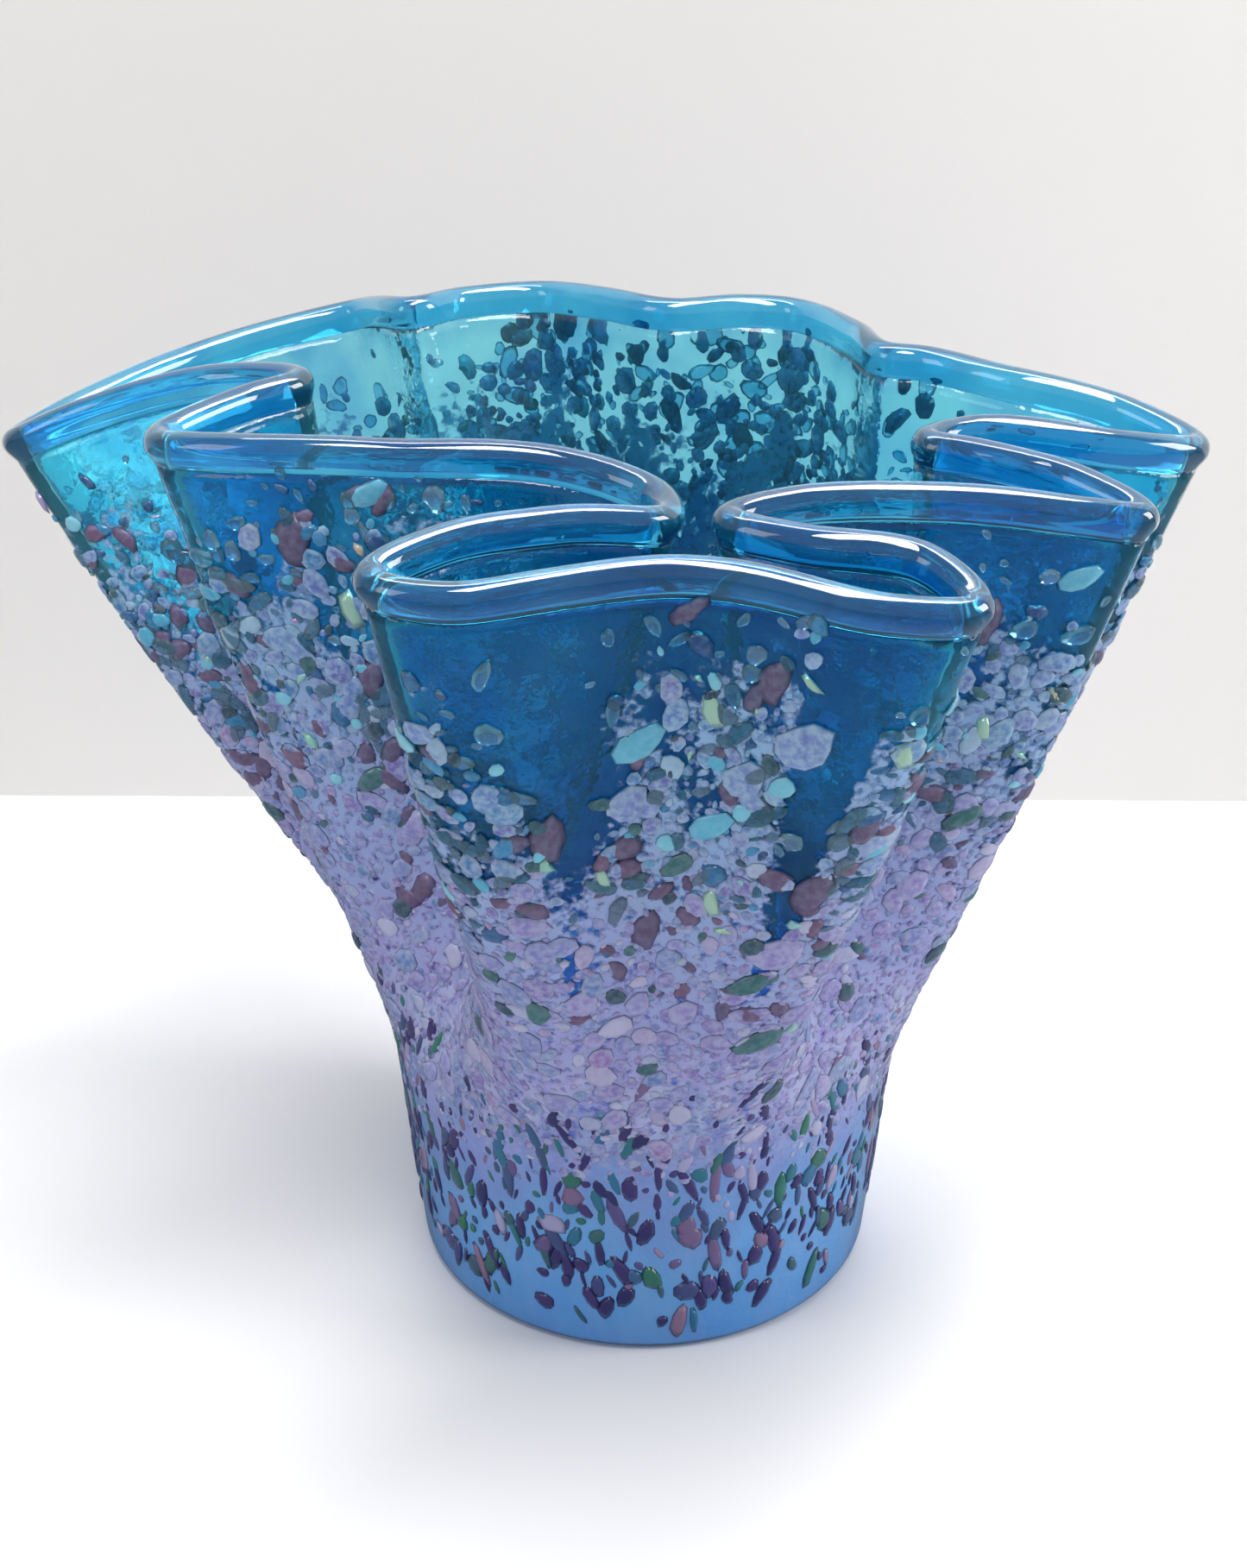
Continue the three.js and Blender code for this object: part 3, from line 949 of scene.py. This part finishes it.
lavenderStops = [(0.0, (0.27, 0.20, 0.62)), (0.25, (0.42, 0.37, 0.80)), (0.5, (0.26, 0.32, 0.74)),
                 (0.75, (0.13, 0.30, 0.64)), (0.9, (0.68, 0.68, 0.95)), (1.0, (0.37, 0.20, 0.60))]
plumStops = [(0.0, (0.085, 0.07, 0.17)), (0.5, (0.12, 0.075, 0.17)), (1.0, (0.16, 0.085, 0.18))]
greenStops = [(0.0, (0.012, 0.045, 0.09)), (0.6, (0.02, 0.08, 0.11)), (1.0, (0.03, 0.15, 0.15))]
midnightStops = [(0.0, (0.008, 0.05, 0.18)), (0.5, (0.01, 0.10, 0.28)), (1.0, (0.015, 0.20, 0.40))]
aquaStops = [(0.0, (0.03, 0.22, 0.45)), (0.5, (0.06, 0.38, 0.58)), (1.0, (0.25, 0.62, 0.74))]
clearStops = [(0.0, (0.10, 0.50, 0.74)), (0.5, (0.30, 0.72, 0.88)), (1.0, (0.58, 0.84, 0.96))]
flakeStops = [(0.0, (0.85, 0.48, 0.34)), (0.3, (0.32, 0.70, 0.56)), (0.55, (0.50, 0.74, 0.50)),
              (0.8, (0.22, 0.62, 0.80)), (1.0, (0.62, 0.34, 0.66))]
fleckStops = [(0.0, (0.018, 0.018, 0.12)), (0.42, (0.05, 0.03, 0.16)), (0.55, (0.02, 0.15, 0.30)),
              (0.68, (0.02, 0.16, 0.10)), (0.82, (0.05, 0.05, 0.22)), (0.92, (0.26, 0.16, 0.27)),
              (1.0, (0.36, 0.40, 0.68))]

chipDefaults = {"nodes": None, "cool": 0.0, "frost": 0.08, "places": []}

# Chips by kind; places listed one by one are row of the rim plan, share of the flare, size in millimetres
# each kind's outline is the colour of the painted shade at its chips' edges
chipKinds = {
    "plum_chips": {
        "slot": "plum_chip", "nodes": "plum_chip_", "stops": plumStops, "outline": (0.04, 0.04, 0.10),
        "finish": satin, "settings": {
            "Spacing": 3.6 * mm, "Cover": 0.55, "Low": 0.22, "Low soft": 0.2, "High": 1.08,
            "High soft": 0.22, "Clumping": 0.75, "Clump scale": 95.0, "Smallest": 0.9 * mm,
            "Largest": 2.7 * mm, "Aspect": 1.4, "Waviness": 0.14, "Proud": 0.2,
            "Proud limit": 0.5 * mm, "Sides": 11, "Rings": 1, "Seed": 11},
        "places": [
            (4.3, 0.62, 3.4), (5.5, 0.86, 3), (6.2, 0.55, 3.6), (4.9, 0.45, 3.2), (6.5, 0.66, 2.8),
            (42.3, 0.86, 3.6), (43.1, 0.8, 3.8), (42.7, 0.66, 3), (43.3, 0.58, 3.4), (12.4, 0.82, 3.2),
            (29.4, 0.5, 3.6), (21.4, 0.62, 3.4), (34.4, 0.56, 3.8), (26.2, 0.74, 3.2),
        ],
    },
    "bottle_green_chips": {
        "slot": "bottle_green_chip", "nodes": "bottle_green_chip_", "stops": greenStops,
        "outline": (0.01, 0.03, 0.05), "finish": glossy, "settings": {
            "Spacing": 5.2 * mm, "Cover": 0.4, "Low": 0.12, "Low soft": 0.2, "High": 1.05,
            "High soft": 0.15, "Clumping": 0.5, "Clump scale": 70.0, "Smallest": 0.8 * mm,
            "Largest": 2.2 * mm, "Aspect": 1.35, "Waviness": 0.08, "Proud": 0.3,
            "Proud limit": 0.6 * mm, "Sides": 10, "Rings": 2, "Seed": 23},
        "places": [
            (5.1, 0.56, 2.4), (5.9, 0.38, 2.6), (6.4, 0.27, 3), (12.8, 0.52, 2.6), (42.6, 0.5, 2.4),
            (30.4, 0.66, 3), (22.3, 0.4, 2.8), (34.8, 0.34, 2.6),
        ],
    },
    "midnight_spots": {
        "slot": "bottle_green_chip", "stops": midnightStops,
        "outline": (0.005, 0.04, 0.11), "finish": glossy, "settings": {
            "Spacing": 3.8 * mm, "Cover": 0.38, "Low": 0.34, "Low soft": 0.3, "High": 1.18,
            "High soft": 0.15, "Clumping": 0.85, "Clump scale": 75.0, "Smallest": 0.8 * mm,
            "Largest": 2.4 * mm, "Aspect": 1.4, "Waviness": 0.12, "Proud": 0.2,
            "Proud limit": 0.4 * mm, "Sides": 10, "Rings": 1, "Seed": 29},
    },
    "lavender_pebbles": {
        "slot": "lavender_pebble", "nodes": "lavender_pebble_", "stops": lavenderStops,
        "outline": (0.02, 0.10, 0.30), "finish": glassy, "cool": 0.8, "frost": 0.6, "settings": {
            "Spacing": 3.3 * mm, "Cover": 1.0, "Low": -0.04, "Low soft": 0.12, "High": 1.04,
            "High soft": 0.16, "Clumping": 0.3, "Clump scale": 60.0, "Smallest": 1.0 * mm,
            "Largest": 2.7 * mm, "Aspect": 1.3, "Waviness": 0.1, "Proud": 0.17,
            "Proud limit": 0.5 * mm, "Sides": 9, "Rings": 2, "Seed": 37},
        "places": [
            (5.75, 0.78, 4.2), (4.75, 0.66, 3.4), (5.45, 0.71, 3.4), (6.1, 0.44, 3.6), (4.4, 0.33, 2.8),
            (5.35, 0.31, 2.6), (43.2, 0.44, 3), (12.3, 0.4, 3), (28.2, 0.6, 3.8), (35.4, 0.46, 3.4),
        ],
    },
    "fine_pebbles": {
        "slot": "lavender_pebble", "stops": lavenderStops,
        "outline": (0.04, 0.17, 0.38), "finish": glassy, "cool": 0.8, "frost": 0.6, "settings": {
            "Spacing": 1.7 * mm, "Cover": 1.0, "Low": -0.06, "Low soft": 0.08, "High": 1.0,
            "High soft": 0.35, "Clumping": 0.15, "Clump scale": 90.0, "Smallest": 0.55 * mm,
            "Largest": 1.2 * mm, "Aspect": 1.3, "Waviness": 0.1, "Proud": 0.2,
            "Proud limit": 0.3 * mm, "Sides": 7, "Rings": 1, "Seed": 41},
    },
    "aqua_pebbles": {
        "slot": "aqua_pebble", "nodes": "aqua_pebble_", "stops": aquaStops,
        "outline": (0.01, 0.10, 0.22), "finish": glossy, "settings": {
            "Spacing": 4.2 * mm, "Cover": 0.55, "Low": 0.36, "Low soft": 0.3, "High": 1.12,
            "High soft": 0.2, "Clumping": 0.5, "Clump scale": 60.0, "Smallest": 0.7 * mm,
            "Largest": 2.0 * mm, "Aspect": 1.3, "Waviness": 0.08, "Proud": 0.28,
            "Proud limit": 0.6 * mm, "Sides": 9, "Rings": 2, "Seed": 53},
        "places": [
            (4.8, 0.75, 3.6), (5.3, 0.63, 3), (42.8, 0.93, 2.6), (13.2, 0.9, 2.6), (20.8, 0.82, 3),
            (34.2, 0.8, 3.2),
        ],
    },
    "clear_lumps": {
        "slot": "aqua_pebble", "stops": clearStops,
        "outline": (0.06, 0.34, 0.58), "finish": icy, "frost": 0.3, "settings": {
            "Spacing": 2.5 * mm, "Cover": 0.9, "Low": 0.42, "Low soft": 0.15, "High": 1.22,
            "High soft": 0.3, "Clumping": 0.7, "Clump scale": 50.0, "Smallest": 0.6 * mm,
            "Largest": 2.2 * mm, "Aspect": 1.5, "Waviness": 0.12, "Proud": 0.25,
            "Proud limit": 0.6 * mm, "Sides": 10, "Rings": 2, "Seed": 59},
    },
    "dichroic_flakes": {
        "slot": "dichroic_flake", "nodes": "dichroic_flake_", "stops": flakeStops,
        "outline": (0.25, 0.3, 0.35), "finish": foil, "settings": {
            "Spacing": 9 * mm, "Cover": 0.35, "Low": 0.15, "Low soft": 0.2, "High": 1.1,
            "High soft": 0.1, "Clumping": 0.2, "Clump scale": 60.0, "Smallest": 0.5 * mm,
            "Largest": 1.7 * mm, "Aspect": 1.9, "Waviness": 0.26, "Proud": 0.5,
            "Proud limit": 0.5 * mm, "Sides": 6, "Rings": 1, "Seed": 67},
        "places": [
            (5.4, 0.505, 2.2), (5.2, 0.8, 2.6), (4.6, 0.54, 1.8), (42.6, 0.76, 2.6), (6.6, 0.78, 2.2),
            (12.7, 0.66, 2), (27.2, 0.45, 2.4), (35.8, 0.64, 2.4),
        ],
    },
    "base_flecks": {
        "slot": "bottle_green_chip", "stops": fleckStops,
        "outline": (0.05, 0.08, 0.28), "finish": glossy, "frost": 0.0, "settings": {
            "Spacing": 2.3 * mm, "Cover": 1.0, "Low": -0.34, "Low soft": 0.18, "High": 0.24,
            "High soft": 0.15, "Clumping": 0.45, "Clump scale": 110.0, "Smallest": 0.8 * mm,
            "Largest": 2.5 * mm, "Aspect": 2.1, "Spin": 0.5, "Waviness": 0.1, "Proud": 0.12,
            "Proud limit": 0.2 * mm, "Sides": 9, "Rings": 1, "Seed": 71},
    },
}


def makeChips(name, kind):
    material = chipMaterial(name + "Glass", kind)
    sheet = makeSheet(name + "Sheet", kind["places"])
    outerWall = halfWall + flareGlassSizes["seam"] + casingSizes["skin"]
    values = {"Rim": rimLine, "Material": material, "Across": outerWall}
    values.update(kind["settings"])
    piece = runModifier(name, sheet, fusedChips, values)
    bpy.data.objects.remove(sheet)
    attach(piece, "root")
    if kind["nodes"]:
        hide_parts(*[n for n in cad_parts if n.startswith(kind["nodes"])])


flareGlass = loftWall("flare_glass", flareProfile(), flareGlassSizes["columns"], flareGlassMaterial())
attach(flareGlass, "root")
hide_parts("violet_band", "lavender_band", "aqua_band")

rimBead = loftWall("rim_bead", lipProfile(), lipSizes["columns"], lipMaterial())
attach(rimBead, "root")
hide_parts("rim_lip")

casing = loftWall("base_casing", casingProfile(), casingSizes["columns"], casingMaterial())
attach(casing, "root")
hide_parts("foot_disc", "base_band")
print("glass made")

for kindName, kind in chipKinds.items():
    makeChips(kindName, {**chipDefaults, **kind})
bpy.data.objects.remove(rimLine)
print("chips made")

stageSizes = {
    "floorHalf": 3.0,
    "wallY": 0.16,
    "wallHeight": 1.6,
    "floorColour": (0.86, 0.86, 0.87),
    "floorInGloss": (0.16, 0.18, 0.2),
    "wallColour": (0.74, 0.72, 0.70),
}


def plainMaterial(name, colour, roughness):
    return newMaterial(name, {"Roughness": roughness, "Base Color": (*colour, 1.0)})


def plane(name, corners, material):
    mesh = bpy.data.meshes.new(name)
    mesh.from_pydata(corners, [], [(0, 1, 2, 3)])
    mesh.materials.append(material)
    thing = addObject(name, mesh)


def makeStage():
    half, wallY, height = stageSizes["floorHalf"], stageSizes["wallY"], stageSizes["wallHeight"]
    floorMaterial, tree, principled = plainMaterial("tableTop", stageSizes["floorColour"], 0.5)
    # the table shows only dimly in the glass's own gloss
    path = tree.nodes.new("ShaderNodeLightPath")
    colours = [(*stageSizes[name], 1.0) for name in ("floorColour", "floorInGloss")]
    seen = mixed(tree, Wire(tree, path.outputs["Is Glossy Ray"]), *colours)
    plug(tree, seen, principled.inputs["Base Color"])
    plane("floor", [(-half, -half, 0), (half, -half, 0), (half, half, 0), (-half, half, 0)],
          floorMaterial)
    wallMaterial, tree, principled = plainMaterial("paleWall", stageSizes["wallColour"], 0.8)
    # the wall shows only from the front, so it never hides the vase in another view
    clear = tree.nodes.new("ShaderNodeBsdfTransparent")
    either = tree.nodes.new("ShaderNodeMixShader")
    facing = tree.nodes.new("ShaderNodeNewGeometry")
    tree.links.new(facing.outputs["Backfacing"], either.inputs[0])
    tree.links.new(principled.outputs[0], either.inputs[1])
    tree.links.new(clear.outputs[0], either.inputs[2])
    tree.links.new(either.outputs[0], tree.nodes["Material Output"].inputs["Surface"])
    corners = [(-half, wallY, 0), (half, wallY, 0), (half, wallY, height), (-half, wallY, height)]
    plane("backdrop", corners, wallMaterial)


makeStage()

worldLook = {"Color": (0.93, 0.95, 1.0, 1.0), "Strength": 0.36}

lightSizes = {
    # name: place, point looked at, size, power in watts, colour
    "topLight": ((0.05, -0.04, 0.7), (0, 0, 0.1), (0.6, 0.18), 4.6, (1.0, 0.99, 0.97)),
    "rightLight": ((0.75, -0.1, 0.45), (0, 0, 0.08), (0.3, 0.4), 3.0, (1.0, 0.98, 0.95)),
    "backLight": ((0.0, 0.13, 0.55), (0, 0.04, 0.1), (0.5, 0.06), 0.8, (0.97, 0.98, 1.0)),
    "leftLight": ((-0.8, -0.45, 0.5), (0, 0, 0.1), (0.3, 0.5), 1.0, (0.93, 0.96, 1.0)),
}


def makeLights():
    for name, (place, target, size, power, colour) in lightSizes.items():
        data = bpy.data.lights.new(name, "AREA")
        data.shape = "RECTANGLE"
        data.size, data.size_y = size
        data.energy = power
        data.color = colour
        lamp = addObject(name, data)
        lamp.location = place
        lamp.rotation_euler = (Vector(target) - Vector(place)).to_track_quat("-Z", "Y").to_euler()
    world = bpy.data.worlds.new("studio")
    world.use_nodes = True
    background = world.node_tree.nodes["Background"]
    for key, value in worldLook.items():
        background.inputs[key].default_value = value
    bpy.context.scene.world = world


makeLights()

cameraSizes = {
    "place": (0.0, -0.370, 0.280),
    "pitchDown": 27.517,
    "yawLeft": 0.574,
    "lens": 57.46,
}


def makeCamera():
    data = bpy.data.cameras.new("camera")
    data.lens = cameraSizes["lens"]
    data.sensor_width = 36.0
    data.clip_start = 0.01
    camera = addObject("camera", data)
    camera.location = cameraSizes["place"]
    camera.rotation_euler = Euler((math.radians(90 - cameraSizes["pitchDown"]), 0,
                                   math.radians(cameraSizes["yawLeft"])))
    bpy.context.scene.camera = camera


makeCamera()
bpy.context.scene.view_settings.view_transform = "Standard"
cycles = bpy.context.scene.cycles
cycles.transparent_max_bounces = 24
cycles.max_bounces = cycles.transmission_bounces = 20
print("stage, lights and camera made")
